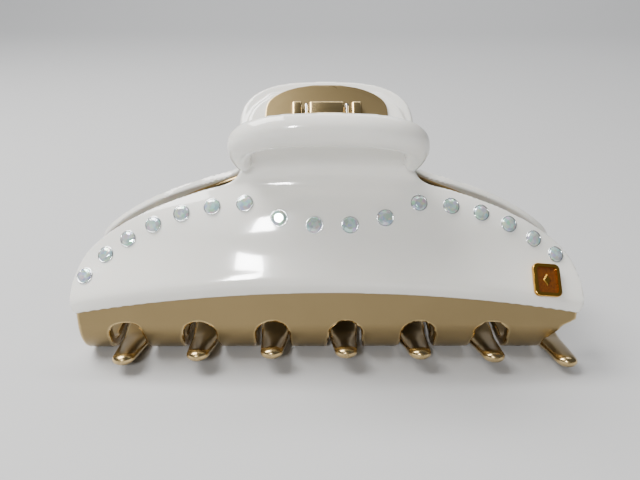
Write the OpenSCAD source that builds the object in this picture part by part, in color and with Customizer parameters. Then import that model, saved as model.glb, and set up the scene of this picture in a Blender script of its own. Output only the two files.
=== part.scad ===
// Spring jaw hair clip: two equal jaws turned half a turn about Z, each a glossy cover over a
// gold toothed frame, on one hinge pin with a double torsion spring between the finger tabs.
// X runs along the clip, Y from the front jaw to the rear jaw, Z up. The origin is the bottom centre.

/* [Cover] */
// Length of the clip along X
clip_length = 110; // [104:1:116]
// Wall thickness of the covers
cover_wall = 1.6; // [1.4:0.1:1.7]
// Height of the rim's centre line over the ground
rim_height = 53.4; // [52:0.2:54]
// Half the distance between the two rims' centre lines
rim_reach = 16.8; // [16:0.1:17.4]
// Radius of the fat rolled rim
rim_radius = 3.5; // [3:0.1:3.7]
// Half the width of a finger tab, to the rim's centre line
tab_half = 17.6; // [17:0.1:18]

/* [Frame] */
// Wall thickness of the gold frames
frame_wall = 1.0; // [0.8:0.1:1.1]
// Gap between a cover and its frame
glue_gap = 0.1; // [0.1:0.05:0.15]
// Thickness of a tooth
tooth_thick = 2.4; // [2:0.1:2.8]
// Number of teeth on each jaw
tooth_count = 7; // [5:1:7]
// Distance between the teeth of one jaw
tooth_pitch = 16; // [15.6:0.1:16.2]

/* [Hinge] */
// Height of the hinge pin's axis
hinge_z = 43; // [42.6:0.1:43.4]
// Radius of the hinge pin
pin_r = 1.1; // [0.9:0.05:1.2]
// Running clearance between pin and knuckles, on the radius
pin_play = 0.05; // [0.02:0.01:0.08]
// Outer radius of the knuckles
knuckle_r = 2.7; // [2.4:0.1:2.8]
// Radius of the spring wire
wire_r = 0.45; // [0.4:0.05:0.5]

/* [Trim] */
// Radius of a crystal at its girdle
crystal_r = 1.8; // [1.5:0.1:1.9]
// Number of crystals on each cover
crystal_count = 17; // [9:2:17]
// Width of the badge
badge_w = 6.2; // [5:0.1:6.6]
// Height of the badge
badge_h = 7.2; // [6:0.1:7.6]

/* [Hidden] */
half_length = clip_length / 2;
crystal_ids = [for (k = [1:crystal_count]) str(k < 10 ? "0" : "", k)];
cover_white = "#f2f0ea";
frame_gold = "#a8864f";
steel_grey = "#b9bcc0";
opal_blue = "#cfe3e2";
amber = "#a8641c";

// Rows of the cover's outer face from the bottom edge up to the tab, each as
// [half width, reach and height at its ends, reach and height at its middle, squareness].
// Reach is the distance from the middle plane between the jaws.
stations = [
    [54.0, 15.3, 13.1, 15.3, 17.9, 2],
    [55.0, 14.4, 15.6, 15.7, 20.4, 3],
    [54.8, 11.4, 19.0, 15.2, 23.4, 3],
    [53.2, 8.0, 22.8, 14.3, 26.4, 3],
    [50.0, 6.5, 26.2, 13.0, 29.2, 2.6],
    [44.0, 5.9, 30.3, 11.5, 31.8, 2.4],
    [36.0, 5.4, 34.2, 9.9, 34.6, 2.2],
    [27.5, 5.1, 37.2, 8.3, 37.2, 2],
    [20.8, 5.4, 39.2, 7.0, 39.6, 2],
    [18.4, 6.0, 41.6, 6.6, 42.2, 2],
    [18.4, 7.2, 44.2, 7.6, 44.8, 2],
    [18.2, 10.0, 47.2, 10.2, 47.6, 2],
    [16.6, 13.4, 50.4, 13.4, 50.6, 2],
    [12.6, 16.2, 53.2, 16.4, 53.6, 2],
    [10.0, 18.8, 56.0, 19.0, 56.4, 2]
];
cover_top_row = 13;

// Smooth curve through four neighbouring values
function spline(a, b, c, d, f) = 0.5 * (2 * b + (c - a) * f + (2 * a - 5 * b + 4 * c - d) * f * f
    + (3 * b - a - 3 * c + d) * f * f * f);
function clamp_row(i) = stations[max(0, min(len(stations) - 1, i))];
function row_at(t) =
    let (i = min(floor(t), len(stations) - 2), f = t - i)
    spline(clamp_row(i - 1), clamp_row(i), clamp_row(i + 1), clamp_row(i + 2), f);
function square_power(s, p) = pow(max(abs(s), 0.0001), p);
// Point of the front cover's outer face at row t and place s across it, sunk inwards by depth
function face_point(t, s, depth) =
    let (r = row_at(t), g = square_power(s, r[5]))
    [r[0] * s * half_length / 55, -(r[3] + (r[1] - r[3]) * g - depth), r[4] + (r[2] - r[4]) * s * s];

// Half the width of the frame's inner wall at row t: inside the cover's edge low down, narrower
// in the tab, with round upper corners
wall_share = 0.82;
plate_half = 13.9;
plate_low_row = 9;
plate_corner_row = 11.6;
plate_top_row = 13.6;
function wall_half(t) =
    let (low = max(0, min(1, (t - plate_low_row) / 2)),
        high = max(0, (t - plate_corner_row) / (plate_top_row - plate_corner_row)))
    (wall_share * row_at(t)[0] * (1 - low) + plate_half * low) * pow(max(1 - pow(high, 3.2), 0.03), 0.42);

// Closed shell between two depths under the outer face
module face_shell(near, far, t0, t1, inner, rows, columns) {
    side = rows * columns;
    points = [for (depth = [near, far], i = [0:rows - 1], j = [0:columns - 1])
        let (t = t0 + (t1 - t0) * i / (rows - 1), s_max = inner ? wall_half(t) / row_at(t)[0] : 1)
        face_point(t, s_max * (2 * j / (columns - 1) - 1), depth)];
    faces = concat(
        [for (i = [0:rows - 2], j = [0:columns - 2])
            let (a = i * columns + j, b = a + 1, c = a + columns + 1, d = a + columns)
            each [[a, d, c], [a, c, b], [side + a, side + b, side + c], [side + a, side + c, side + d]]],
        [for (j = [0:columns - 2])
            let (a = j, b = j + 1, c = (rows - 1) * columns + j, d = c + 1)
            each [[a, b, side + b], [a, side + b, side + a], [c, side + c, side + d], [c, side + d, d]]],
        [for (i = [0:rows - 2])
            let (a = i * columns, b = a + columns, c = a + columns - 1, d = b + columns - 1)
            each [[a, side + a, side + b], [a, side + b, b], [c, d, side + d], [c, side + d, side + c]]]
    );
    polyhedron(points, faces);
}

// Rolled rim: a tube up one side of the tab, over its top and down the other side, flat towards
// the frame. Its rows run from its foot at the neck to the middle of its top, each as
// [place along X as a share of tab_half, rise as a share of the way up, share of rim_radius].
rim_rows = [
    [0.975, 0, 0.42],
    [1, 0.25, 0.6],
    [0.985, 0.5, 0.77],
    [0.9, 0.74, 0.89],
    [0.7, 0.9, 0.97],
    [0.4, 0.98, 1],
    [0, 1, 1]
];
rim_last = len(rim_rows) - 1;
rim_foot_reach = 7.4;
rim_foot_height = 43.4;
rim_flat = 1.45;
rim_rings = 40;
rim_sides = 16;
function rim_row(i) = i > rim_last
    ? let (m = rim_rows[2 * rim_last - i]) [-m[0], m[1], m[2]]
    : rim_rows[max(0, i)];
function rim_at(f) =
    let (q = rim_last * (1 - abs(f)), i = min(floor(q), rim_last - 1))
    spline(rim_row(i - 1), rim_row(i), rim_row(i + 1), rim_row(i + 2), q - i);
function rim_path(f) =
    let (r = rim_at(f))
    [sign(f) * tab_half * r[0], -(rim_foot_reach + (rim_reach - rim_foot_reach) * r[1]),
        rim_foot_height + (rim_height - rim_foot_height) * r[1]];
function rim_size(f) = rim_radius * rim_at(f)[2];
function unit(v) = v / norm(v);
module rim() {
    places = [for (i = [0:rim_rings]) 2 * i / rim_rings - 1];
    lean = unit([0, -(rim_reach - rim_foot_reach), rim_height - rim_foot_height]);
    across = cross([1, 0, 0], lean);
    points = [for (f = places)
        let (along = unit(rim_path(min(f + 0.01, 1)) - rim_path(max(f - 0.01, -1))),
            out = cross(along, across))
        for (k = [0:rim_sides - 1])
            let (angle = 360 * k / rim_sides)
            rim_path(f) + rim_size(f) * cos(angle) * out
                + max(rim_size(f) * sin(angle), -rim_flat) * across];
    last = rim_rings * rim_sides;
    faces = concat(
        [for (i = [0:rim_rings - 1], k = [0:rim_sides - 1])
            let (a = i * rim_sides + k, b = i * rim_sides + (k + 1) % rim_sides)
            each [[a, b, b + rim_sides], [a, b + rim_sides, a + rim_sides]]],
        [[for (k = [0:rim_sides - 1]) rim_sides - 1 - k], [for (k = [0:rim_sides - 1]) last + k]]
    );
    polyhedron(points, faces);
}

// Crystals: evenly spread places of a garland, mirrored about its middle. The badge takes the
// last place. The garland follows the arc from the ends and dips below the tab.
garland_places = crystal_count + 1;
garland_shift = 0.9;
garland_step = 7.4;
garland_squeeze = 0.0163;
peak_x = 17.8;
end_x_place = 52.7;
function crystal_off(k) =
    let (q = (k - (garland_places + 1) / 2) * 17 / (garland_places - 1))
    garland_step * q - garland_squeeze * q * q * q;
function crystal_row(k) =
    let (x = abs(crystal_off(k)))
    x > peak_x + 1 ? 6.6 - 4.35 * pow(x / end_x_place, 3) : 5.0 + 1.35 * pow(x / peak_x, 2);

// Places something on the outer face, its Z along the outward normal
module on_face(t, s) {
    here = face_point(t, s, 0);
    side = face_point(t, s + 0.01, 0) - face_point(t, s - 0.01, 0);
    up = face_point(t + 0.02, s, 0) - face_point(t - 0.02, s, 0);
    n = unit(cross(side, up));
    x_dir = unit(side);
    y_dir = cross(n, x_dir);
    multmatrix([
        [x_dir[0], y_dir[0], n[0], here[0]],
        [x_dir[1], y_dir[1], n[1], here[1]],
        [x_dir[2], y_dir[2], n[2], here[2]]
    ]) children();
}
pocket_depth = 1.0;
module at_crystal(k) {
    t = crystal_row(k);
    on_face(t, (crystal_off(k) + garland_shift) / row_at(t)[0]) children();
}
module pockets() {
    for (k = [1:crystal_count])
        at_crystal(k)
            translate([0, 0, -pocket_depth])
                cylinder(r = crystal_r, h = 2 * pocket_depth, $fn = 48);
}
crown_h = 0.7;
table_r = 1.1;
module crystal(k) {
    color(opal_blue)
        at_crystal(k)
            translate([0, 0, -pocket_depth]) {
                cylinder(r = crystal_r, h = pocket_depth, $fn = 48);
                translate([0, 0, pocket_depth])
                    cylinder(r1 = crystal_r, r2 = table_r, h = crown_h, $fn = 48);
            }
}

module cover() {
    color(cover_white)
        difference() {
            union() {
                face_shell(0, cover_wall, 0, cover_top_row, false, 25, 31);
                rim();
            }
            pockets();
        }
}

// Toothed band in side view, drawn with reach to the right and height up
band_r = 9.5;
band_out = 13.9;
band_top = 19.5;
band_end_drop = 5.8;
tip_reach = 18.4;
tip_z = 5.2;
tip_r = 1.4;
flat_end = -6;
module band_profile() {
    cx = band_out - band_r;
    inner_r = band_r - tooth_thick;
    polygon(concat(
        [[13.0, band_top], [13.3, 15.5]],
        [for (a = [0:-7.5:-90]) [cx + band_r * cos(a), band_r + band_r * sin(a)]],
        [[flat_end, 0], [flat_end, tooth_thick]],
        [for (a = [-90:7.5:0]) [cx + inner_r * cos(a), band_r + inner_r * sin(a)]],
        [[11.9, 15.5], [11.7, band_top]]
    ));
    // The tip curls up on the far side
    steep = atan2(tip_z - tooth_thick / 2, -tip_reach - flat_end);
    polygon([
        [flat_end, 0],
        [flat_end, tooth_thick],
        [-tip_reach + tip_r * sin(steep), tip_z - tip_r * cos(steep)],
        [-tip_reach - tip_r * sin(steep), tip_z + tip_r * cos(steep)]
    ]);
    translate([-tip_reach, tip_z])
        circle(r = tip_r, $fn = 32);
}

// Half the width of a tooth where it has the given reach
tooth_foot = 4.72;
tooth_tip = 2.3;
function tooth_half(reach) =
    reach < -17.6 ? tooth_tip * sqrt(max(0, 1 - pow((-17.6 - reach) / 2.3, 2)))
    : tooth_tip + (tooth_foot - tooth_tip) * (reach + 17.6) / 32;
tooth_reaches = [16, 8, 0, -9, -17.6, -18.6, -19.3, -19.7, -19.9];
first_tooth = -52;
function tooth_x(k) = first_tooth + tooth_pitch * k;
arch_r = 3.5;
arch_top = 10.3;
arch_drop = 4.6;
function gap_x(k) = tooth_x(k) + tooth_pitch / 2;
function gap_z(k) = arch_top - arch_r - arch_drop * pow(gap_x(k) / half_length, 2);
end_x = half_length - 0.6;
near_reach = 11.5;
corner_z = 12.5;
last_edge = tooth_x(tooth_count - 1) + tooth_foot;
last_z = 5.2;

// The band from the front: arched top, one straight end, one slanted end, arched gaps
module band_front() {
    difference() {
        polygon(concat(
            [for (q = [-1:0.1:1]) [end_x * q, band_top - band_end_drop * q * q]],
            [[end_x, corner_z], [last_edge, last_z], [last_edge, -1], [-end_x, -1]]
        ));
        for (k = [0:tooth_count - 2])
            translate([gap_x(k), gap_z(k)]) {
                circle(r = arch_r, $fn = 48);
                translate([-arch_r, -20])
                    square([2 * arch_r, 20]);
            }
    }
}

// The teeth from above, with tapering sides and round tips
module teeth_plan() {
    intersection() {
        for (k = [0:tooth_count - 1])
            polygon(concat(
                [for (r = tooth_reaches) [tooth_x(k) + tooth_half(r), -r]],
                [for (i = [len(tooth_reaches) - 1:-1:0])
                    [tooth_x(k) - tooth_half(tooth_reaches[i]), -tooth_reaches[i]]]
            ));
        translate([-end_x, -50])
            square([2 * end_x, 100]);
    }
}

module band_bar() {
    rotate([90, 0, -90])
        linear_extrude(2 * half_length, center = true)
            band_profile();
}

module toothed_band() {
    intersection() {
        band_bar();
        union() {
            translate([0, -near_reach, 0])
                rotate([90, 0, 0])
                    linear_extrude(20)
                        band_front();
            intersection() {
                linear_extrude(12)
                    teeth_plan();
                translate([-half_length, -near_reach, -1])
                    cube([2 * half_length, 50, 20]);
            }
        }
    }
}

// Hinge knuckles on their webs, and the seat that holds the spring's legs
knuckle_w = 2.4;
knuckle_places = [-14.6, 9.4];
web_reach = 4.2;
web_thick = 2.8;
module knuckles() {
    for (x = knuckle_places)
        translate([x, 0, hinge_z]) {
            rotate([0, 90, 0])
                cylinder(r = knuckle_r, h = knuckle_w, $fn = 48);
            translate([0, -web_reach, -web_thick / 2])
                cube([knuckle_w, web_reach, web_thick]);
        }
}
module knuckle_bores() {
    for (x = knuckle_places)
        translate([x - 0.5, 0, hinge_z])
            rotate([0, 90, 0])
                cylinder(r = pin_r + pin_play, h = knuckle_w + 1, $fn = 48);
}
seat_w = 8.0;
seat_rib_w = 2.3;
seat_slot = 1.6;
seat_h = 4.6;
seat_reach = 10.2;
seat_z = 50.8;
seat_lean = 43;
seat_thick = 2.6;
seat_sink = 1;
module spring_seat() {
    widths = [[-seat_w / 2, seat_w], [seat_w / 2 + seat_slot, seat_rib_w],
        [-seat_w / 2 - seat_slot - seat_rib_w, seat_rib_w]];
    for (w = widths)
        translate([w[0], -seat_reach, seat_z])
            rotate([seat_lean, 0, 0])
                translate([0, -seat_sink, -seat_h / 2])
                    cube([w[1], seat_thick, seat_h]);
}

liner_near = cover_wall + glue_gap;
wall_low_row = 0.45;
module jaw() {
    color(frame_gold)
        difference() {
            union() {
                face_shell(liner_near, liner_near + frame_wall, wall_low_row, plate_top_row, true, 31, 27);
                toothed_band();
                knuckles();
                spring_seat();
            }
            knuckle_bores();
        }
}

pin_half = 15.4;
module hinge_pin() {
    color(steel_grey)
        translate([0, 0, hinge_z])
            rotate([0, 90, 0])
                cylinder(r = pin_r, h = 2 * pin_half, center = true, $fn = 48);
}

// Two coils round the pin, a leg from each coil's outer end up to the front tab and from its
// inner end up to the rear tab
coil_in = 4.0;
coil_out = 9.1;
coil_bore = 1.25;
coil_r = coil_bore + 2 * wire_r;
leg_inset = wire_r + 0.15;
leg_start = coil_bore + wire_r + 0.1;
leg_reach = 11.4;
leg_z = 52.5;
module wire(from, to) {
    d = to - from;
    translate(from)
        rotate([0, acos(d[2] / norm(d)), atan2(d[1], d[0])])
            cylinder(r = wire_r, h = norm(d), $fn = 24);
}
module torsion_spring() {
    color(steel_grey)
        for (side = [-1, 1]) {
            difference() {
                translate([side * (coil_in + coil_out) / 2, 0, hinge_z])
                    rotate([0, 90, 0])
                        cylinder(r = coil_r, h = coil_out - coil_in, center = true, $fn = 48);
                translate([0, 0, hinge_z])
                    rotate([0, 90, 0])
                        cylinder(r = coil_bore, h = 40, center = true, $fn = 48);
            }
            wire([side * (coil_in + leg_inset), leg_start, hinge_z],
                [side * (coil_in + leg_inset), leg_reach, leg_z]);
            wire([side * (coil_out - leg_inset), -leg_start, hinge_z],
                [side * (coil_out - leg_inset), -leg_reach, leg_z]);
        }
}

// Badge: a flat frame with round corners and a sunk amber inlay, by the right-hand end
badge_row = 1.86;
badge_s = 0.843;
badge_d = 0.9;
badge_rim = 0.8;
badge_lift = 0.25;
badge_corner = 1.2;
inlay_drop = 0.35;
inlay_corner = 0.7;
module soft_square(w, h, r) {
    square([w - 2 * r, h], center = true);
    square([w, h - 2 * r], center = true);
    for (x = [-1, 1], y = [-1, 1])
        translate([x * (w / 2 - r), y * (h / 2 - r)])
            circle(r = r, $fn = 32);
}
module badge_frame() {
    color(frame_gold)
        on_face(badge_row, badge_s)
            translate([0, 0, badge_lift])
                linear_extrude(badge_d)
                    difference() {
                        soft_square(badge_w, badge_h, badge_corner);
                        soft_square(badge_w - 2 * badge_rim, badge_h - 2 * badge_rim, inlay_corner);
                    }
}
module badge_inlay() {
    color(amber)
        on_face(badge_row, badge_s)
            translate([0, 0, badge_lift])
                linear_extrude(badge_d - inlay_drop)
                    soft_square(badge_w - 2 * badge_rim, badge_h - 2 * badge_rim, inlay_corner);
}

module turned() {
    rotate([0, 0, 180])
        children();
}

cover();  // front_cover
turned() cover();  // rear_cover
jaw();  // front_jaw
turned() jaw();  // rear_jaw
hinge_pin();
torsion_spring();
badge_frame();
badge_inlay();
for (k = [1:crystal_count]) {
    crystal(k);
    turned() crystal(k);
}
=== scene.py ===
"""Spring jaw hair clip: its finished surfaces, materials and stage, built round its frame."""
import math

import bpy
from mathutils import Matrix, Vector


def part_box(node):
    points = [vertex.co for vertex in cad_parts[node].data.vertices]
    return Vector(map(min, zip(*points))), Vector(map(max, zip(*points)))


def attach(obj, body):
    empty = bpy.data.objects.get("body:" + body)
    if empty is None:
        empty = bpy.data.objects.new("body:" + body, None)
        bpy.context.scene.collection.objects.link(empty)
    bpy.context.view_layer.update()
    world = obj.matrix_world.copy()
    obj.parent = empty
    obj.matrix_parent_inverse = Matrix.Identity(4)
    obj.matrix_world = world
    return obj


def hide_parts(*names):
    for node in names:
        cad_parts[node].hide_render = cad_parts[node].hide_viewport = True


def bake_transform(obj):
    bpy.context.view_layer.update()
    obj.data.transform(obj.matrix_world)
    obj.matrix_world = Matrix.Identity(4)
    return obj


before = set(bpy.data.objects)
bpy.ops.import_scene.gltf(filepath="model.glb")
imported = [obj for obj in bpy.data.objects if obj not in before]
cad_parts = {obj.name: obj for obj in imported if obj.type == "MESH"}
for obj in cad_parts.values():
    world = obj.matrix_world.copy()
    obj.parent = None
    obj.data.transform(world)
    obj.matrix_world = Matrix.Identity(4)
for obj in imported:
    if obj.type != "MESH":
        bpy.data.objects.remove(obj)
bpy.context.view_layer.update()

bl_info = {
    "name": "Claw Clip",
    "version": (1, 0, 0),
    "blender": (4, 5, 0),
    "location": "3D View > Sidebar > Claw Clip",
    "description": "Models a spring jaw hair clip with crystals round its frame",
    "category": "Add Mesh",
}

MM = 0.001
HALF_LENGTH = (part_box("front_cover")[1][0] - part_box("front_cover")[0][0]) / 2 / MM
PIN_LOW, PIN_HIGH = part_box("hinge_pin")
HINGE_Z = (PIN_LOW[2] + PIN_HIGH[2]) / 2 / MM
PIN_R = (PIN_HIGH[2] - PIN_LOW[2]) / 2 / MM
PIN_HALF = (PIN_HIGH[0] - PIN_LOW[0]) / 2 / MM
CRYSTAL_COUNT = 17
TURN = Matrix.Rotation(math.pi, 4, "Z")

# Rows of the cover's outer face from the bottom edge up to the tab, in millimetres:
# half width, reach and height at the ends, reach and height in the middle, squareness.
# Reach is the distance from the middle plane between the two jaws.
STATIONS = (
    (54.0, 15.3, 13.1, 15.3, 17.9, 2.0),
    (55.0, 14.4, 15.6, 15.7, 20.4, 3.0),
    (54.8, 11.4, 19.0, 15.2, 23.4, 3.0),
    (53.2, 8.0, 22.8, 14.3, 26.4, 3.0),
    (50.0, 6.5, 26.2, 13.0, 29.2, 2.6),
    (44.0, 5.9, 30.3, 11.5, 31.8, 2.4),
    (36.0, 5.4, 34.2, 9.9, 34.6, 2.2),
    (27.5, 5.1, 37.2, 8.3, 37.2, 2.0),
    (20.8, 5.4, 39.2, 7.0, 39.6, 2.0),
    (18.4, 6.0, 41.6, 6.6, 42.2, 2.0),
    (18.4, 7.2, 44.2, 7.6, 44.8, 2.0),
    (18.2, 10.0, 47.2, 10.2, 47.6, 2.0),
    (16.6, 13.4, 50.4, 13.4, 50.6, 2.0),
    (12.6, 16.2, 53.2, 16.4, 53.6, 2.0),
    (10.0, 18.8, 56.0, 19.0, 56.4, 2.0),
)
LAST_ROW = len(STATIONS) - 1
COVER_TOP_ROW = 13


def linear(code):
    """An sRGB hex value as linear red, green and blue."""
    parts = [int(code[i:i + 2], 16) / 255 for i in (0, 2, 4)]
    return tuple(c / 12.92 if c <= 0.04045 else ((c + 0.055) / 1.055) ** 2.4 for c in parts)


class ClipSizes(bpy.types.PropertyGroup):
    """Sizes of the finished surfaces, in metres."""
    wall: bpy.props.FloatProperty(
        name="Cover wall", description="Wall thickness of the covers",
        default=0.0016, unit="LENGTH", subtype="DISTANCE")
    rim: bpy.props.FloatProperty(
        name="Rim radius", description="Radius of the rolled rim at the top of a tab",
        default=0.0035, unit="LENGTH", subtype="DISTANCE")
    tooth: bpy.props.FloatProperty(
        name="Tooth thickness", description="Thickness of the toothed band",
        default=0.0024, unit="LENGTH", subtype="DISTANCE")
    crystal: bpy.props.FloatProperty(
        name="Crystal radius", description="Radius of a crystal at its girdle",
        default=0.00175, unit="LENGTH", subtype="DISTANCE")
    wire: bpy.props.FloatProperty(
        name="Spring wire", description="Radius of the spring wire",
        default=0.00045, unit="LENGTH", subtype="DISTANCE")


class ClipColours(bpy.types.PropertyGroup):
    """Colours of the finished surfaces."""
    cover: bpy.props.FloatVectorProperty(
        name="Cover", description="Polished moulded plastic",
        default=linear("EFEDE6"), subtype="COLOR", min=0, max=1)
    gold: bpy.props.FloatVectorProperty(
        name="Gold", description="Satin gold lacquer",
        default=linear("97835C"), subtype="COLOR", min=0, max=1)
    # Painted highlight: a light gold mixed into the frame's convex edges where light would catch
    # them
    bright: bpy.props.FloatVectorProperty(
        name="Bright gold", description="Gold lacquer rubbed bright along the edges",
        default=linear("DEC28C"), subtype="COLOR", min=0, max=1)
    opal: bpy.props.FloatVectorProperty(
        name="Opal", description="White opal glass",
        default=linear("C3D8D8"), subtype="COLOR", min=0, max=1)
    amber: bpy.props.FloatVectorProperty(
        name="Amber", description="Enamel field of the badge",
        default=linear("7E4510"), subtype="COLOR", min=0, max=1)
    floor: bpy.props.FloatVectorProperty(
        name="Floor", description="Plain pale floor",
        default=linear("BDBDBD"), subtype="COLOR", min=0, max=1)


# ---------------------------------------------------------------- mesh helpers

def deselect():
    """Nothing selected, so the next operator acts only on what it is given."""
    if bpy.context.object and bpy.context.object.mode != "OBJECT":
        bpy.ops.object.mode_set(mode="OBJECT")
    bpy.ops.object.select_all(action="DESELECT")


def only(piece):
    """Only this piece selected and active."""
    deselect()
    piece.select_set(True)
    bpy.context.view_layer.objects.active = piece


def named(name):
    """The new primitive with its name, its place moved into its mesh."""
    piece = bpy.context.object
    piece.name = name
    piece.data.name = name
    bpy.ops.object.transform_apply(location=True, rotation=True, scale=True)
    return piece


def patch(name, columns, rows, place):
    """A grid whose vertices are placed by place(across, along), both from -1 to 1."""
    deselect()
    bpy.ops.mesh.primitive_grid_add(x_subdivisions=columns, y_subdivisions=rows, size=2)
    piece = named(name)
    for vertex in piece.data.vertices:
        vertex.co = Vector(place(vertex.co.x, vertex.co.y)) * MM
    return piece


def bar(name, rings, sides, place):
    """A closed bar swept by place(along, angle), along from -1 to 1."""
    deselect()
    bpy.ops.mesh.primitive_cylinder_add(vertices=sides, radius=1, depth=2,
                                        end_fill_type="TRIFAN")
    piece = named(name)
    bpy.ops.object.mode_set(mode="EDIT")
    bpy.ops.mesh.select_all(action="DESELECT")
    bpy.ops.object.mode_set(mode="OBJECT")
    for edge in piece.data.edges:
        low, high = (piece.data.vertices[i].co.z for i in edge.vertices)
        edge.select = abs(high - low) > 1
    bpy.ops.object.mode_set(mode="EDIT")
    bpy.ops.mesh.select_mode(type="EDGE")
    bpy.ops.mesh.subdivide(number_cuts=rings - 1)
    bpy.ops.object.mode_set(mode="OBJECT")
    for vertex in piece.data.vertices:
        x, y, z = vertex.co
        radius = min(1.0, math.hypot(x, y))
        vertex.co = Vector(place(z, math.atan2(y, x), radius)) * MM
    return piece


def modify(piece, kind, **settings):
    """Adds one modifier with its settings and applies it."""
    only(piece)
    modifier = piece.modifiers.new(kind.title(), kind)
    for key, value in settings.items():
        setattr(modifier, key, value)
    bpy.ops.object.modifier_apply(modifier=modifier.name)
    return piece


def outwards(piece):
    """Doubles merged and faces turned outwards on a closed shape."""
    only(piece)
    bpy.ops.object.mode_set(mode="EDIT")
    bpy.ops.mesh.select_all(action="SELECT")
    bpy.ops.mesh.remove_doubles(threshold=1e-6)
    bpy.ops.mesh.normals_make_consistent(inside=False)
    bpy.ops.object.mode_set(mode="OBJECT")
    return piece


def join(name, pieces):
    """Several meshes made one piece."""
    only(pieces[0])
    for piece in pieces[1:]:
        piece.select_set(True)
    bpy.ops.object.join()
    pieces[0].name = name
    pieces[0].data.name = name
    return pieces[0]


def smooth(piece, degrees=40):
    """Smooth shading up to an angle."""
    only(piece)
    bpy.ops.object.shade_smooth_by_angle(angle=math.radians(degrees))
    return piece


def copy_of(piece, name, matrix):
    """A copy with its own mesh, moved by a matrix."""
    twin = piece.copy()
    twin.data = piece.data.copy()
    twin.name = name
    twin.data.name = name
    bpy.context.collection.objects.link(twin)
    twin.data.transform(matrix)
    return twin


def dress(piece, *materials):
    """The piece's materials, in slot order."""
    piece.data.materials.clear()
    for material in materials:
        piece.data.materials.append(material)
    return piece


# ------------------------------------------------------------- material helpers

def new_material(name):
    """An empty node material with its shader and output."""
    material = bpy.data.materials.new(name)
    material.use_nodes = True
    material.node_tree.nodes.clear()
    output = node(material, "ShaderNodeOutputMaterial")
    shader = node(material, "ShaderNodeBsdfPrincipled")
    link(material, shader, "BSDF", output, "Surface")
    return material, shader


def node(material, kind, inputs=(), **settings):
    """Adds one node with its settings, its input values and its links."""
    made = material.node_tree.nodes.new(kind)
    for key, value in settings.items():
        setattr(made, key, value)
    for key, value in dict(inputs).items():
        if isinstance(value, tuple) and len(value) == 2 and hasattr(value[0], "outputs"):
            link(material, value[0], value[1], made, key)
        else:
            made.inputs[key].default_value = value
    return made


def link(material, source, output, target, socket):
    """Joins an output of one node to an input of another."""
    material.node_tree.links.new(source.outputs[output], target.inputs[socket])


def rgba(colour):
    """A colour with full alpha."""
    return (colour[0], colour[1], colour[2], 1.0)


def scaled(colour, factor):
    """A colour made lighter or darker, with full alpha."""
    return rgba([min(1.0, c * factor) for c in colour])


def cover_material(colours):
    """Polished moulded cellulose acetate: a deep gloss over a milky body that lets a little
    light in, so shaded parts stay warm."""
    material, shader = new_material("polished_cellulose_acetate")
    place = node(material, "ShaderNodeTexCoord")
    cloud = node(material, "ShaderNodeTexNoise",
                 {"Vector": (place, "Object"), "Scale": 60.0, "Detail": 3.0})
    tone = node(material, "ShaderNodeValToRGB", {"Fac": (cloud, "Fac")})
    tone.color_ramp.elements[0].position = 0.3
    tone.color_ramp.elements[0].color = scaled(colours.cover, 0.94)
    tone.color_ramp.elements[1].position = 0.7
    tone.color_ramp.elements[1].color = rgba(colours.cover)
    link(material, tone, "Color", shader, "Base Color")
    # Hand polishing leaves waves about 4 mm long and a few microns high
    waves = node(material, "ShaderNodeTexNoise",
                 {"Vector": (place, "Object"), "Scale": 250.0, "Detail": 1.0})
    bump = node(material, "ShaderNodeBump",
                {"Height": (waves, "Fac"), "Strength": 0.05, "Distance": 0.0002})
    link(material, bump, "Normal", shader, "Normal")
    shader.inputs["Roughness"].default_value = 0.1
    shader.inputs["IOR"].default_value = 1.5
    shader.inputs["Coat Weight"].default_value = 0.6
    shader.inputs["Coat Roughness"].default_value = 0.012
    shader.inputs["Subsurface Weight"].default_value = 0.12
    shader.inputs["Subsurface Radius"].default_value = (0.002, 0.0015, 0.001)
    shader.inputs["Subsurface Scale"].default_value = 0.6
    return material


def gold_material(colours):
    """Satin metallic lacquer on moulded plastic: metal flake blurs the reflection, and the edges
    are smoother, with a painted highlight lightening their colour."""
    material, shader = new_material("satin_gold_lacquer")
    place = node(material, "ShaderNodeTexCoord")
    # Metal flake, about 0.3 mm, drawn coarser than real so that it shows
    flake = node(material, "ShaderNodeTexNoise",
                 {"Vector": (place, "Object"), "Scale": 3200.0, "Detail": 2.0})
    cloud = node(material, "ShaderNodeTexNoise",
                 {"Vector": (place, "Object"), "Scale": 90.0, "Detail": 4.0})
    shape = node(material, "ShaderNodeNewGeometry")
    # Convex edges found by pointiness get the painted highlight colour and a lower roughness
    edge = node(material, "ShaderNodeMapRange",
                {"Value": (shape, "Pointiness"), "From Min": 0.51, "From Max": 0.545})
    body = node(material, "ShaderNodeMix",
                {"Factor": (cloud, "Fac"), 6: scaled(colours.gold, 0.86), 7: rgba(colours.gold)},
                data_type="RGBA")
    tone = node(material, "ShaderNodeMix", {"Factor": (edge, "Result"), 7: rgba(colours.bright)},
                data_type="RGBA")
    material.node_tree.links.new(body.outputs[2], tone.inputs[6])
    material.node_tree.links.new(tone.outputs[2], shader.inputs["Base Color"])
    rough = node(material, "ShaderNodeMapRange",
                 {"Value": (edge, "Result"), "To Min": 0.36, "To Max": 0.16})
    link(material, rough, "Result", shader, "Roughness")
    bump = node(material, "ShaderNodeBump",
                {"Height": (flake, "Fac"), "Strength": 0.08, "Distance": 0.0001})
    link(material, bump, "Normal", shader, "Normal")
    shader.inputs["Metallic"].default_value = 1.0
    shader.inputs["Coat Weight"].default_value = 0.15
    shader.inputs["Coat Roughness"].default_value = 0.2
    return material


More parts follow.
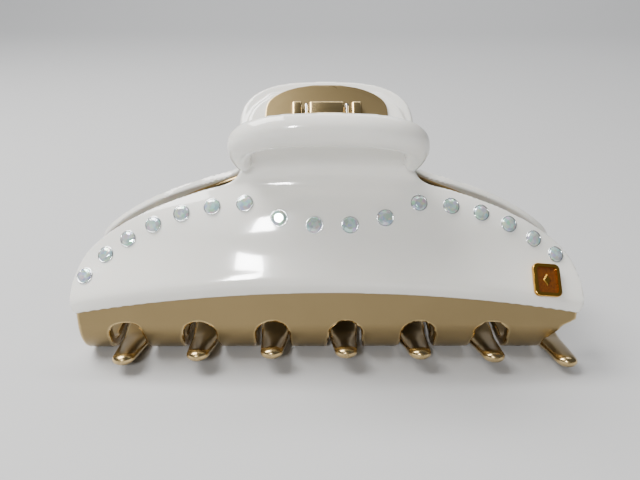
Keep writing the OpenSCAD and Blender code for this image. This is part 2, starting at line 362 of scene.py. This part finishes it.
def opal_material(colours):
    """White opal cut glass on a foil back: milky facets with a faint blue and pink film."""
    material, shader = new_material("white_opal_glass")
    place = node(material, "ShaderNodeTexCoord")
    fire = node(material, "ShaderNodeTexVoronoi", {"Vector": (place, "Object"), "Scale": 1400.0})
    tint = node(material, "ShaderNodeMix",
                {"Factor": 0.3, 6: rgba(colours.opal)}, data_type="RGBA")
    material.node_tree.links.new(fire.outputs["Color"], tint.inputs[7])
    material.node_tree.links.new(tint.outputs[2], shader.inputs["Base Color"])
    shader.inputs["Roughness"].default_value = 0.07
    shader.inputs["IOR"].default_value = 1.6
    shader.inputs["Metallic"].default_value = 0.35
    shader.inputs["Coat Weight"].default_value = 1.0
    shader.inputs["Coat Roughness"].default_value = 0.02
    shader.inputs["Coat IOR"].default_value = 1.7
    return material


def steel_material():
    """Drawn spring steel: bright, with fine lines along the wire."""
    material, shader = new_material("drawn_spring_steel")
    place = node(material, "ShaderNodeTexCoord")
    line = node(material, "ShaderNodeTexNoise",
                {"Vector": (place, "Object"), "Scale": 2500.0, "Detail": 2.0})
    rough = node(material, "ShaderNodeMapRange",
                 {"Value": (line, "Fac"), "To Min": 0.16, "To Max": 0.34})
    link(material, rough, "Result", shader, "Roughness")
    shader.inputs["Base Color"].default_value = rgba(linear("C9CACD"))
    shader.inputs["Metallic"].default_value = 1.0
    return material


def gilt_material():
    """Polished gilt brass of the badge."""
    material, shader = new_material("polished_gilt_brass")
    place = node(material, "ShaderNodeTexCoord")
    wear = node(material, "ShaderNodeTexNoise",
                {"Vector": (place, "Object"), "Scale": 1500.0, "Detail": 3.0})
    rough = node(material, "ShaderNodeMapRange",
                 {"Value": (wear, "Fac"), "To Min": 0.08, "To Max": 0.26})
    link(material, rough, "Result", shader, "Roughness")
    shader.inputs["Base Color"].default_value = rgba(linear("D8A548"))
    shader.inputs["Metallic"].default_value = 1.0
    return material


def amber_material(colours):
    """Transparent amber enamel over stippled brass."""
    material, shader = new_material("amber_enamel")
    place = node(material, "ShaderNodeTexCoord")
    stipple = node(material, "ShaderNodeTexNoise",
                   {"Vector": (place, "Object"), "Scale": 1800.0, "Detail": 3.0})
    tone = node(material, "ShaderNodeMix",
                {"Factor": (stipple, "Fac"), 6: scaled(colours.amber, 0.45),
                 7: scaled(colours.amber, 1.5)}, data_type="RGBA")
    material.node_tree.links.new(tone.outputs[2], shader.inputs["Base Color"])
    shader.inputs["Roughness"].default_value = 0.25
    shader.inputs["Metallic"].default_value = 0.5
    shader.inputs["Coat Weight"].default_value = 1.0
    shader.inputs["Coat Roughness"].default_value = 0.05
    return material


def floor_material(colours):
    """Matt painted board."""
    material, shader = new_material("matt_painted_board")
    place = node(material, "ShaderNodeTexCoord")
    grain = node(material, "ShaderNodeTexNoise",
                 {"Vector": (place, "Object"), "Scale": 300.0, "Detail": 2.0})
    bump = node(material, "ShaderNodeBump",
                {"Height": (grain, "Fac"), "Strength": 0.03, "Distance": 0.0003})
    link(material, bump, "Normal", shader, "Normal")
    shader.inputs["Base Color"].default_value = rgba(colours.floor)
    shader.inputs["Roughness"].default_value = 0.75
    return material


# -------------------------------------------------------------- cover surface

def spline(a, b, c, d, f):
    """Smooth curve through four neighbouring values."""
    return 0.5 * (2 * b + (c - a) * f + (2 * a - 5 * b + 4 * c - d) * f ** 2
                  + (3 * b - a - 3 * c + d) * f ** 3)


FULL_HALF = 55.0


def row_at(t):
    """The station at a place between the rows."""
    i = min(int(max(t, 0)), LAST_ROW - 1)
    near = [STATIONS[max(0, min(LAST_ROW, i + k))] for k in (-1, 0, 1, 2)]
    return [spline(*values, t - i) for values in zip(*near)]


def hump(x, middle, width):
    """A smooth bump of height one."""
    return math.exp(-((x - middle) / width) ** 2)


def relief(t, s):
    """How far the moulded face stands out of the plain loft: a full band along the bottom edge,
    a shallow valley above it and a rolled shoulder under the arc."""
    fade = 1 - abs(s) ** 6
    shoulder = 0.5 * hump(t, 6.3, 1.3)
    return fade * (0.55 * hump(t, 1.1, 0.8) - 0.75 * hump(t, 3.1, 1.2) + shoulder)


def face_point(t, s, depth=0.0):
    """A point of the front cover's outer face, sunk inwards by depth, in millimetres."""
    half, end_reach, end_z, mid_reach, mid_z, square = row_at(t)
    g = abs(s) ** square
    reach = mid_reach + (end_reach - mid_reach) * g + relief(t, s) - depth
    return Vector((half * s * HALF_LENGTH / FULL_HALF, -reach, mid_z + (end_z - mid_z) * s * s))


def on_face(t, s):
    """A matrix in metres that stands something on the face, its Z along the outward normal."""
    here = face_point(t, s)
    side = face_point(t, s + 0.01) - face_point(t, s - 0.01)
    up = face_point(t + 0.02, s) - face_point(t - 0.02, s)
    normal = side.cross(up).normalized()
    side.normalize()
    turn = Matrix((side, normal.cross(side), normal)).transposed().to_4x4()
    return Matrix.Translation(here * MM) @ turn


# The rolled rim from its foot by the neck to the middle of its top: place along X as a share of
# TAB_HALF, rise as a share of the way up, share of the rim's radius
RIM_ROWS = (
    (0.975, 0.0, 0.42),
    (1.0, 0.25, 0.6),
    (0.985, 0.5, 0.77),
    (0.9, 0.74, 0.89),
    (0.7, 0.9, 0.97),
    (0.4, 0.98, 1.0),
    (0.0, 1.0, 1.0),
)
RIM_LAST = len(RIM_ROWS) - 1
RIM_FOOT, RIM_TOP = (7.4, 43.4), (16.8, 53.4)
RIM_FLAT = 1.45
TAB_HALF = 17.6


def rim_row(i):
    """A row of the rim, mirrored past the middle of its top."""
    if i > RIM_LAST:
        x, rise, size = RIM_ROWS[2 * RIM_LAST - i]
        return -x, rise, size
    return RIM_ROWS[max(0, i)]


def rim_at(f):
    """The rim's row at f, from -1 at one foot over the tab to 1 at the other."""
    q = RIM_LAST * (1 - abs(f))
    i = min(int(q), RIM_LAST - 1)
    return [spline(*values, q - i) for values in zip(*(rim_row(i + k) for k in (-1, 0, 1, 2)))]


def rim_path(f):
    """The centre line of the rim's tube, in millimetres."""
    x, rise, _ = rim_at(f)
    return Vector((math.copysign(TAB_HALF * x, f),
                   -(RIM_FOOT[0] + (RIM_TOP[0] - RIM_FOOT[0]) * rise),
                   RIM_FOOT[1] + (RIM_TOP[1] - RIM_FOOT[1]) * rise))


def rim_place(sizes):
    """How the rim's tube is swept along its path, flat on the side of the frame."""
    lean = Vector((0, RIM_FOOT[0] - RIM_TOP[0], RIM_TOP[1] - RIM_FOOT[1])).normalized()
    across = Vector((1, 0, 0)).cross(lean)

    def place(f, angle, radius):
        along = (rim_path(min(f + 0.01, 1)) - rim_path(max(f - 0.01, -1))).normalized()
        out = along.cross(across)
        size = sizes.rim / MM * rim_at(f)[2] * radius
        return (rim_path(f) + size * math.cos(angle) * out
                + max(size * math.sin(angle), -RIM_FLAT) * across)
    return place


STONE_PITCH, STONE_CROWDING, STONE_SHIFT = 7.4, 0.0163, 0.9
# Row of the stones at the top of the arc and how far it falls by ARC_HALF
DIP_HALF, ARC_HALF, ARC_ROW, ARC_FALL = 18.8, 52.7, 6.6, 4.35
# Row of the stones in the middle of the dip and how far it climbs by DIP_SPAN
DIP_SPAN, DIP_ROW, DIP_CLIMB = 17.8, 5.0, 1.35
STONE_TURN = 2.4


def garland(k):
    """Row and place across of crystal k, counted from the left. The badge takes the last place."""
    q = k - (CRYSTAL_COUNT + 2) / 2
    x = STONE_PITCH * q - STONE_CROWDING * q ** 3
    # The line of stones dips in the middle and falls away along the arc
    if abs(x) > DIP_HALF:
        t = ARC_ROW - ARC_FALL * (abs(x) / ARC_HALF) ** 3
    else:
        t = DIP_ROW + DIP_CLIMB * (x / DIP_SPAN) ** 2
    return t, (x + STONE_SHIFT) / row_at(t)[0]


WALL_SHARE = 0.82
PLATE_HALF = 13.9
PLATE_LOW_ROW, PLATE_CORNER_ROW, PLATE_TOP_ROW = 9, 11.6, 13.6
NECK_LOW, NECK_HIGH = 38.5, 42.0
COVER_VOXEL, BAND_VOXEL = 0.00037, 0.00045


def wall_half(t):
    """Half the width of the frame's inner wall at row t: inside the cover's edge low down,
    narrower in the tab, with round upper corners."""
    low = max(0.0, min(1.0, (t - PLATE_LOW_ROW) / 2))
    high = max(0.0, (t - PLATE_CORNER_ROW) / (PLATE_TOP_ROW - PLATE_CORNER_ROW))
    width = WALL_SHARE * row_at(t)[0] * (1 - low) + PLATE_HALF * low
    return width * max(1 - high ** 3.2, 0.03) ** 0.42


def make_cover(sizes):
    """One cover: shell and rolled rim grown together, the moulding below the neck laid back onto
    the plain face.
    """
    shell = patch("shell", 220, 130, lambda x, y: face_point((y + 1) / 2 * COVER_TOP_ROW, x))
    modify(shell, "SOLIDIFY", thickness=sizes.wall, offset=-1.0)
    modify(outwards(shell), "BEVEL", width=0.00055, segments=4, limit_method="ANGLE",
           angle_limit=math.radians(50))
    clean = copy_of(shell, "clean_face", Matrix())
    rim = outwards(bar("rim", 90, 32, rim_place(sizes)))
    cover = join("front_cover_shell", [shell, rim])
    modify(cover, "REMESH", mode="VOXEL", voxel_size=COVER_VOXEL)
    modify(cover, "SMOOTH", factor=0.5, iterations=12)
    # Below the neck the moulding has no blends, so its surface goes back onto the plain face
    face = cover.vertex_groups.new(name="face")
    for vertex in cover.data.vertices:
        share = (NECK_HIGH - vertex.co.z / MM) / (NECK_HIGH - NECK_LOW)
        face.add([vertex.index], max(0.0, min(1.0, share)), "REPLACE")
    modify(cover, "SHRINKWRAP", target=clean, vertex_group="face")
    bpy.data.objects.remove(clean, do_unlink=True)
    cover.vertex_groups.clear()
    return cover


# ---------------------------------------------------------------- toothed band

TOOTH_PITCH = 16.0
FIRST_TOOTH, TEETH = -52.0, 7
FOOT_HALF, TIP_HALF = 4.5, 2.3
ARC_R = 9.5
ARC_REACH = 4.4
STRAIGHT = 10.04
END_X = 54.4
BEND_START, BEND_END, TIP_ANGLE = 22.8, 27.8, math.radians(17.9)
ROUND_START = 22.0
TIP_START, TIP_END = 37.3, 39.6
ARCH_R, ARCH_U = 3.5, 2.75
END_DROP = 5.8
TIP_DROP, DROP_START, DROP_RUN = 2.6, 20, 18
ROUND_RUN = 9
HALF_THICK = 1.2
KNUCKLE_R, KNUCKLE_WIDE, KNUCKLE_STARTS = 2.7, 2.4, (-14.6, 9.4)
WEB_HALF_REACH, WEB_HALF_RISE = 2.1, 1.4
BORE_GAP = 0.05
SEAT_REACH, SEAT_Z, SEAT_LEAN = 10.2, 50.8, 43
SEAT_RIBS = ((0.0, 8.0), (-6.75, 2.3), (6.75, 2.3))
PLATE_START, PLATE_GAP = 0.45, 0.12


def band_path(u):
    """Reach and height of the band's outer line and its inward direction, at length u past the
    place where the straight wall turns into the arc."""
    quarter = ARC_R * math.pi / 2
    if u < 0:
        f = -u / STRAIGHT
        return 13.9 - 1.1 * f + 0.2 * f * f, ARC_R + 10 * f, -1.0, -0.06
    if u < quarter:
        a = u / ARC_R
        return (ARC_REACH + ARC_R * math.cos(a), ARC_R - ARC_R * math.sin(a),
                -math.cos(a), math.sin(a))
    flat = ARC_REACH + quarter
    if u < BEND_START:
        return flat - u, 0.0, 0.0, 1.0
    radius = (BEND_END - BEND_START) / TIP_ANGLE
    a = min(u - BEND_START, BEND_END - BEND_START) / radius
    past = max(0.0, u - BEND_END)
    reach = flat - BEND_START - radius * math.sin(a) - past * math.cos(a)
    height = radius * (1 - math.cos(a)) + past * math.sin(a)
    return reach, height, math.sin(a), math.cos(a)


def bend_band(x, u, w):
    """A point of the flat comb, w deep under its outer side, bent to the band's shape."""
    k = max(0, min(TEETH - 1, round((x - FIRST_TOOTH) / TOOTH_PITCH)))
    nearest = FIRST_TOOTH + TOOTH_PITCH * k
    middle = w - HALF_THICK
    if u > ROUND_START:
        # The finger turns from a flat bar into a rounded one, with a round end
        share = min(1.0, (u - ROUND_START) / ROUND_RUN)
        half = FOOT_HALF + (TIP_HALF - FOOT_HALF) * (u - ARCH_U) / (TIP_START - ARCH_U)
        a = max(-1.0, min(1.0, (x - nearest) / half))
        b = max(-1.0, min(1.0, middle / HALF_THICK))
        x += share * half * a * (math.sqrt(1 - b * b / 2) - 1)
        middle += share * HALF_THICK * b * (math.sqrt(1 - a * a / 2) - 1) + 0.25 * share * b
    if u > TIP_START:
        turn = min(1.0, (u - TIP_START) / (TIP_END - TIP_START)) * math.pi / 2
        u = TIP_START + (TIP_END - TIP_START) * math.sin(turn)
        x = nearest + (x - nearest) * math.cos(turn)
        middle *= math.cos(turn)
    if u < 0:
        middle = (middle + HALF_THICK) * (1 - 0.45 * -u / STRAIGHT) - HALF_THICK
        u += max(0.0, -u / STRAIGHT) * END_DROP * (x / END_X) ** 2
    reach, height, in_reach, in_height = band_path(u)
    fall = max(0.0, min(1.0, (u - DROP_START) / DROP_RUN)) ** 1.5
    drop = TIP_DROP * (x / FULL_HALF) ** 2 * fall
    depth = middle + HALF_THICK
    return Vector((x, -(reach + depth * in_reach), height + depth * in_height - drop))


def block(name, place):
    """A six-sided block, its corners placed by place(x, y, z), each -1 or 1."""
    deselect()
    bpy.ops.mesh.primitive_cube_add(size=2)
    piece = named(name)
    for vertex in piece.data.vertices:
        vertex.co = Vector(place(*vertex.co)) * MM
    return outwards(piece)


def flat_comb():
    """The band and its teeth laid flat: X along the clip, Y down the band, Z its thickness."""
    comb = block("comb", lambda x, y, z: (
        END_X * x, -STRAIGHT if y < 0 else TIP_END, HALF_THICK * (1 + z)))
    cutters = []
    for k in range(TEETH):
        middle = FIRST_TOOTH + TOOTH_PITCH * (k + 0.5)
        if k < TEETH - 1:
            deselect()
            bpy.ops.mesh.primitive_cylinder_add(vertices=64, radius=ARCH_R * MM, depth=8 * MM,
                                                location=(middle * MM, ARCH_U * MM, 0))
            cutters.append(named("arch"))
            cutters.append(block("gap", lambda x, y, z: (
                middle + x * (ARCH_R if y < 0 else TOOTH_PITCH / 2 - TIP_HALF + 0.1),
                ARCH_U if y < 0 else 42.0, 5 * z)))
        else:
            foot = middle - TOOTH_PITCH / 2 + FOOT_HALF
            cutters.append(block("end", lambda x, y, z: (
                middle + 10 if x > 0 else (foot if y < 0 else foot - FOOT_HALF + TIP_HALF),
                4.0 if y < 0 else 42.0, 5 * z)))
            cutters.append(block("slant", lambda x, y, z: (
                middle + 10 if x > 0 else (END_X + 0.6 if y < 0 else foot - 0.1),
                -3.6 if y < 0 else 4.4, 5 * z)))
    for cutter in cutters:
        cut(comb, cutter)
    return comb


def cut(piece, cutter, operation="DIFFERENCE"):
    """Cuts one closed mesh by another, which is then gone."""
    modify(piece, "BOOLEAN", object=cutter, operation=operation, solver="EXACT")
    bpy.data.objects.remove(cutter, do_unlink=True)
    return piece


def axle(name, x, radius, width, sides):
    """A cylinder along the hinge's axis, its middle at x, in millimetres."""
    deselect()
    bpy.ops.mesh.primitive_cylinder_add(vertices=sides, radius=radius * MM, depth=width * MM,
                                        location=(x * MM, 0, HINGE_Z * MM),
                                        rotation=(0, math.pi / 2, 0))
    return named(name)


def make_jaw(sizes):
    """One gold frame: comb, inner wall behind the cover, knuckles and spring seat."""
    comb = flat_comb()
    modify(comb, "REMESH", mode="VOXEL", voxel_size=BAND_VOXEL)
    modify(comb, "SMOOTH", factor=0.5, iterations=6)
    for vertex in comb.data.vertices:
        vertex.co = bend_band(*(vertex.co / MM)) * MM
    outwards(comb)

    def wall_place(x, y):
        t = PLATE_START + (y + 1) / 2 * (PLATE_TOP_ROW - PLATE_START)
        return face_point(t, x * wall_half(t) / row_at(t)[0], sizes.wall / MM + PLATE_GAP)
    liner = patch("liner", 90, 110, wall_place)
    modify(liner, "SOLIDIFY", thickness=0.001, offset=-1.0)
    modify(outwards(liner), "BEVEL", width=0.0003, segments=2, limit_method="ANGLE",
           angle_limit=math.radians(50))

    parts = [comb, liner]
    for start in KNUCKLE_STARTS:
        x = start + KNUCKLE_WIDE / 2
        knuckle = axle("knuckle", x, KNUCKLE_R, KNUCKLE_WIDE, 64)
        web = block("web", lambda a, b, c: (
            x + KNUCKLE_WIDE / 2 * a, -WEB_HALF_REACH + WEB_HALF_REACH * b,
            HINGE_Z + WEB_HALF_RISE * c))
        cut(knuckle, web, "UNION")
        cut(knuckle, axle("bore", x, PIN_R + BORE_GAP, 6, 64))
        modify(knuckle, "BEVEL", width=0.0003, segments=3, limit_method="ANGLE")
        parts.append(knuckle)
    lean = Matrix.Rotation(math.radians(SEAT_LEAN), 4, "X")
    for middle, width in SEAT_RIBS:
        rib = block("rib", lambda a, b, c: Vector((middle + a * width / 2, -SEAT_REACH, SEAT_Z))
                    + lean @ Vector((0, 0.3 + 1.3 * b, 2.3 * c)))
        modify(rib, "BEVEL", width=0.0005, segments=4, limit_method="ANGLE")
        parts.append(rib)
    return join("front_jaw_gold", parts)


# --------------------------------------------------------------- small pieces

def make_crystal(sizes):
    """A chaton: sixteen-sided table, two rows of crown facets, a girdle, and a bright foil rim."""
    r = sizes.crystal / MM
    # Share of the radius, height and whether the corners are turned half a facet
    levels = ((0.90, -0.85, 0), (0.96, -0.1, 0), (0.96, 0.08, 0), (0.82, 0.38, 1), (0.52, 0.58, 0))

    def place(z, angle, radius):
        size, height, turn = levels[round((z + 1) / 2 * (len(levels) - 1))]
        angle += turn * math.pi / 16
        wide = r * size * radius
        return Vector((wide * math.cos(angle), wide * math.sin(angle), height))
    stone = outwards(bar("stone", len(levels) - 1, 16, place))
    deselect()
    bpy.ops.mesh.primitive_torus_add(major_radius=r * 0.97 * MM, minor_radius=0.17 * MM,
                                     major_segments=40, minor_segments=8,
                                     location=(0, 0, 0.06 * MM))
    ring = named("ring")
    smooth(ring, 60)
    dress(stone, bpy.data.materials["white_opal_glass"])
    dress(ring, bpy.data.materials["silvered_foil"])
    return join("stone", [stone, ring])


BADGE_ROW, BADGE_ACROSS = 1.86, 0.843


def soft_block(name, width, height, low, high, corner, edge):
    """A block with round corners seen from the front and softened edges."""
    piece = block(name, lambda x, y, z: (x * width / 2, y * height / 2, high if z > 0 else low))
    only(piece)
    bpy.ops.object.mode_set(mode="EDIT")
    bpy.ops.mesh.select_all(action="DESELECT")
    bpy.ops.object.mode_set(mode="OBJECT")
    for e in piece.data.edges:
        a, b = (piece.data.vertices[i].co for i in e.vertices)
        e.select = abs(a.z - b.z) > 1e-6
    bpy.ops.object.mode_set(mode="EDIT")
    bpy.ops.mesh.bevel(offset=corner * MM, segments=8, affect="EDGES")
    bpy.ops.object.mode_set(mode="OBJECT")
    if edge:
        modify(piece, "BEVEL", width=edge * MM, segments=3, limit_method="ANGLE")
    return outwards(piece)


COIL_R, COIL_TURNS, COIL_STEPS, LEG_STEPS = 1.7, 4, 120, 13
COIL_INNER, COIL_OUTER = 4.6, 8.5
LEG_REACH, LEG_RISE = 11.4, 9.5


def spring_path():
    """The right-hand coil's centre line: down the rear leg, round the pin, up the front leg."""
    open_angle = math.acos(COIL_R / math.hypot(LEG_REACH, LEG_RISE))
    slope = math.atan2(LEG_RISE, LEG_REACH)
    first = slope - open_angle
    last = math.pi - slope + open_angle - COIL_TURNS * 2 * math.pi
    line = []
    for i in range(LEG_STEPS):
        f = i / LEG_STEPS
        y, z = COIL_R * math.cos(first), COIL_R * math.sin(first)
        line.append((COIL_INNER, LEG_REACH + (y - LEG_REACH) * f,
                     HINGE_Z + LEG_RISE + (z - LEG_RISE) * f))
    for i in range(COIL_STEPS + 1):
        f = i / COIL_STEPS
        a = first + (last - first) * f
        line.append((COIL_INNER + (COIL_OUTER - COIL_INNER) * f, COIL_R * math.cos(a),
                     HINGE_Z + COIL_R * math.sin(a)))
    for i in range(1, LEG_STEPS + 1):
        f = i / LEG_STEPS
        y, z = COIL_R * math.cos(last), COIL_R * math.sin(last)
        line.append((COIL_OUTER, y + (-LEG_REACH - y) * f, HINGE_Z + z + (LEG_RISE - z) * f))
    return [Vector(p) for p in line]


def make_spring_half(sizes):
    """One wound wire swept along the spring's centre line."""
    line = spring_path()
    last = len(line) - 1

    def place(z, angle, radius):
        i = round((z + 1) / 2 * last)
        along = (line[min(i + 1, last)] - line[max(i - 1, 0)]).normalized()
        across = along.cross(Vector((1, 0, 0))).normalized()
        other = along.cross(across)
        size = sizes.wire / MM * radius
        return line[i] + size * (math.cos(angle) * across + math.sin(angle) * other)
    return smooth(outwards(bar("spring", last, 14, place)), 60)


# ------------------------------------------------------------------- operators

def sizes():
    """The sizes held by the scene."""
    return bpy.context.scene.clip_sizes


def colours():
    """The colours held by the scene."""
    return bpy.context.scene.clip_colours


def material(name):
    """A material made before, or made now."""
    makers = {
        "polished_cellulose_acetate": lambda: cover_material(colours()),
        "satin_gold_lacquer": lambda: gold_material(colours()),
        "white_opal_glass": lambda: opal_material(colours()),
        "silvered_foil": foil_material,
        "drawn_spring_steel": steel_material,
        "polished_gilt_brass": gilt_material,
        "amber_enamel": lambda: amber_material(colours()),
        "matt_painted_board": lambda: floor_material(colours()),
    }
    return bpy.data.materials.get(name) or makers[name]()


def foil_material():
    """Silvered foil edge of the stones' backs."""
    made, shader = new_material("silvered_foil")
    place = node(made, "ShaderNodeTexCoord")
    wear = node(made, "ShaderNodeTexNoise", {"Vector": (place, "Object"), "Scale": 2000.0})
    rough = node(made, "ShaderNodeMapRange",
                 {"Value": (wear, "Fac"), "To Min": 0.1, "To Max": 0.3})
    link(made, rough, "Result", shader, "Roughness")
    shader.inputs["Base Color"].default_value = rgba(linear("E9EDEE"))
    shader.inputs["Metallic"].default_value = 1.0
    return made


class CLIP_OT_covers(bpy.types.Operator):
    """The two glossy covers with their rolled rims and stone pockets"""
    bl_idname = "clip.covers"
    bl_label = "Covers"

    def execute(self, context):
        cover = make_cover(sizes())
        pockets = []
        for k in range(1, CRYSTAL_COUNT + 1):
            deselect()
            bpy.ops.mesh.primitive_cylinder_add(vertices=40, radius=sizes().crystal * 0.985,
                                                depth=2 * MM)
            pocket = named("pocket")
            pocket.data.transform(on_face(*garland(k)))
            pockets.append(pocket)
        cut(cover, join("pockets", pockets))
        dress(cover, material("polished_cellulose_acetate"))
        smooth(cover, 45)
        rear = copy_of(cover, "rear_cover_shell", TURN)
        for piece, half in ((cover, "front"), (rear, "rear")):
            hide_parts(f"{half}_cover")
            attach(piece, f"{half}_half")
        return {"FINISHED"}


class CLIP_OT_jaws(bpy.types.Operator):
    """The two gold toothed frames"""
    bl_idname = "clip.jaws"
    bl_label = "Toothed frames"

    def execute(self, context):
        jaw = make_jaw(sizes())
        dress(jaw, material("satin_gold_lacquer"))
        smooth(jaw, 45)
        rear = copy_of(jaw, "rear_jaw_gold", TURN)
        for piece, half in ((jaw, "front"), (rear, "rear")):
            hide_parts(f"{half}_jaw")
            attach(piece, f"{half}_half")
        return {"FINISHED"}


class CLIP_OT_hinge(bpy.types.Operator):
    """The hinge pin and the two halves of the torsion spring"""
    bl_idname = "clip.hinge"
    bl_label = "Pin and spring"

    def execute(self, context):
        pin = axle("hinge_pin_steel", 0, PIN_R, 2 * PIN_HALF, 48)
        modify(pin, "BEVEL", width=0.0004, segments=4, limit_method="ANGLE")
        dress(smooth(pin, 40), material("drawn_spring_steel"))
        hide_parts("hinge_pin")
        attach(pin, "front_half")

        right = make_spring_half(sizes())
        right.name = "spring_right"
        right.data.name = "spring_right"
        dress(right, material("drawn_spring_steel"))
        left = copy_of(right, "spring_left", Matrix.Scale(-1, 4, (1, 0, 0)))
        only(left)
        bpy.ops.object.mode_set(mode="EDIT")
        bpy.ops.mesh.select_all(action="SELECT")
        bpy.ops.mesh.normals_make_consistent(inside=False)
        bpy.ops.object.mode_set(mode="OBJECT")
        for piece, side in ((right, 1), (left, -1)):
            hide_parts("torsion_spring")
            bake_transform(piece)
        return {"FINISHED"}


class CLIP_OT_crystals(bpy.types.Operator):
    """The stones of both garlands"""
    bl_idname = "clip.crystals"
    bl_label = "Crystals"

    def execute(self, context):
        material("white_opal_glass")
        material("silvered_foil")
        stone = make_crystal(sizes())
        for k in range(1, CRYSTAL_COUNT + 1):
            # Stones are set by hand, so no two lie turned the same way
            turn = Matrix.Rotation(k * STONE_TURN, 4, "Z")
            for half, whole in (("front", Matrix()), ("rear", TURN)):
                piece = copy_of(stone, f"{half}_stone_{k:02d}",
                                whole @ on_face(*garland(k)) @ turn)
                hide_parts(f"{half}_crystal_{k:02d}")
                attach(piece, f"{half}_half")
        bpy.data.objects.remove(stone, do_unlink=True)
        return {"FINISHED"}


class CLIP_OT_badge(bpy.types.Operator):
    """The plain badge: a gilt frame round an amber field with a lozenge"""
    bl_idname = "clip.badge"
    bl_label = "Badge"

    def execute(self, context):
        place = on_face(BADGE_ROW, BADGE_ACROSS)
        frame_piece = soft_block("badge_gilt", 6.2, 7.2, 0.25, 1.15, 1.2, 0.16)
        cut(frame_piece, soft_block("field", 4.6, 5.6, -1.0, 3.0, 0.7, 0))
        dress(smooth(frame_piece, 40), material("polished_gilt_brass"))
        field = soft_block("badge_enamel", 4.6, 5.6, 0.25, 0.8, 0.7, 0)
        dress(field, material("amber_enamel"))
        lozenge = block("lozenge", lambda x, y, z: (
            (0.65 if z > 0 else 1) * (x + y) / 2, (0.65 if z > 0 else 1) * (y - x) / 2 * 1.5,
            1.02 if z > 0 else 0.7))
        dress(lozenge, material("polished_gilt_brass"))
        field = join("badge_enamel", [field, lozenge])
        smooth(field, 40)
        for piece, cad, slot in ((frame_piece, "badge_frame", "badge_gold"),
                                 (field, "badge_inlay", "badge_inlay")):
            piece.data.transform(place)
            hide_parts(cad)
            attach(piece, "front_half")
        return {"FINISHED"}


CAMERA_PLACE = (-0.00263, -0.13627, 0.08043)
CAMERA_YAW, CAMERA_PITCH, CAMERA_ROLL = math.radians(0.46), math.radians(22.58), math.radians(0.15)
CAMERA_LENS = 36.27


def sweep_point(across, along):
    """The floor and backdrop in one sweep: flat, then curving up behind, in millimetres."""
    length = (along + 1) * 2200
    flat, radius = 2000.0, 700.0
    turn = max(0.0, min(math.pi / 2, (length - flat) / radius))
    past = max(0.0, length - flat - radius * math.pi / 2)
    return (across * 3000, min(length, flat) - 1200 + radius * math.sin(turn),
            radius * (1 - math.cos(turn)) + past - 0.2)


def soft_light(name, place, aim, size, power, tint=(1, 1, 1)):
    """One rectangular studio lamp aimed at a point."""
    bpy.ops.object.light_add(type="AREA", location=place)
    lamp = bpy.context.object
    lamp.name = name
    lamp.data.name = name
    lamp.data.shape = "RECTANGLE"
    lamp.data.size, lamp.data.size_y = size
    lamp.data.energy = power
    lamp.data.color = tint
    lamp.rotation_euler = (Vector(aim) - Vector(place)).to_track_quat("-Z", "Y").to_euler()
    return lamp


class CLIP_OT_stage(bpy.types.Operator):
    """A pale floor, soft lamps and the camera"""
    bl_idname = "clip.stage"
    bl_label = "Stage"

    def execute(self, context):
        deselect()
        floor = patch("floor", 4, 80, sweep_point)
        smooth(floor, 60)
        dress(floor, material("matt_painted_board"))

        world = bpy.data.worlds.new("soft_room")
        context.scene.world = world
        world.use_nodes = True
        world.node_tree.nodes["Background"].inputs["Color"].default_value = (0.8, 0.83, 0.86, 1)
        world.node_tree.nodes["Background"].inputs["Strength"].default_value = 0.16
        middle = (0, 0, 0.03)
        soft_light("overhead", (-0.32, 0.02, 0.55), middle, (0.4, 0.35), 7.5, (1.0, 0.99, 0.97))
        soft_light("window", (-0.15, -0.62, 0.36), middle, (0.07, 0.1), 3.2)
        soft_light("backdrop", (0.0, 0.4, 1.2), (0.0, 1.4, 0.4), (1.6, 0.6), 22.0,
                   (0.97, 0.98, 1.0))

        bpy.ops.object.camera_add(location=CAMERA_PLACE)
        camera = bpy.context.object
        camera.name = "camera"
        camera.data.name = "camera"
        level = math.cos(CAMERA_PITCH)
        forward = Vector((math.sin(CAMERA_YAW) * level, math.cos(CAMERA_YAW) * level,
                          -math.sin(CAMERA_PITCH)))
        camera.rotation_euler = (forward.to_track_quat("-Z", "Y").to_matrix()
                                 @ Matrix.Rotation(CAMERA_ROLL, 3, "Z")).to_euler()
        camera.data.lens = CAMERA_LENS
        camera.data.clip_start = 0.005
        context.scene.camera = camera
        return {"FINISHED"}


class CLIP_PT_panel(bpy.types.Panel):
    """Sizes, colours and steps of the claw clip"""
    bl_idname = "CLIP_PT_panel"
    bl_label = "Claw Clip"
    bl_space_type = "VIEW_3D"
    bl_region_type = "UI"
    bl_category = "Claw Clip"

    def draw(self, context):
        for group in (context.scene.clip_sizes, context.scene.clip_colours):
            box = self.layout.box()
            for key in group.__annotations__:
                box.prop(group, key)
        for step in STEPS:
            self.layout.operator(step.bl_idname)


STEPS = (CLIP_OT_covers, CLIP_OT_jaws, CLIP_OT_hinge, CLIP_OT_crystals, CLIP_OT_badge,
         CLIP_OT_stage)
CLASSES = (ClipSizes, ClipColours, *STEPS, CLIP_PT_panel)


def register():
    for one in CLASSES:
        bpy.utils.register_class(one)
    bpy.types.Scene.clip_sizes = bpy.props.PointerProperty(type=ClipSizes)
    bpy.types.Scene.clip_colours = bpy.props.PointerProperty(type=ClipColours)


def unregister():
    del bpy.types.Scene.clip_colours
    del bpy.types.Scene.clip_sizes
    for one in reversed(CLASSES):
        bpy.utils.unregister_class(one)


def main():
    register()
    for step in STEPS:
        group, action = step.bl_idname.split(".")
        if getattr(getattr(bpy.ops, group), action)() != {"FINISHED"}:
            raise RuntimeError(f"{step.bl_label} did not finish")


if __name__ == "__main__":
    main()
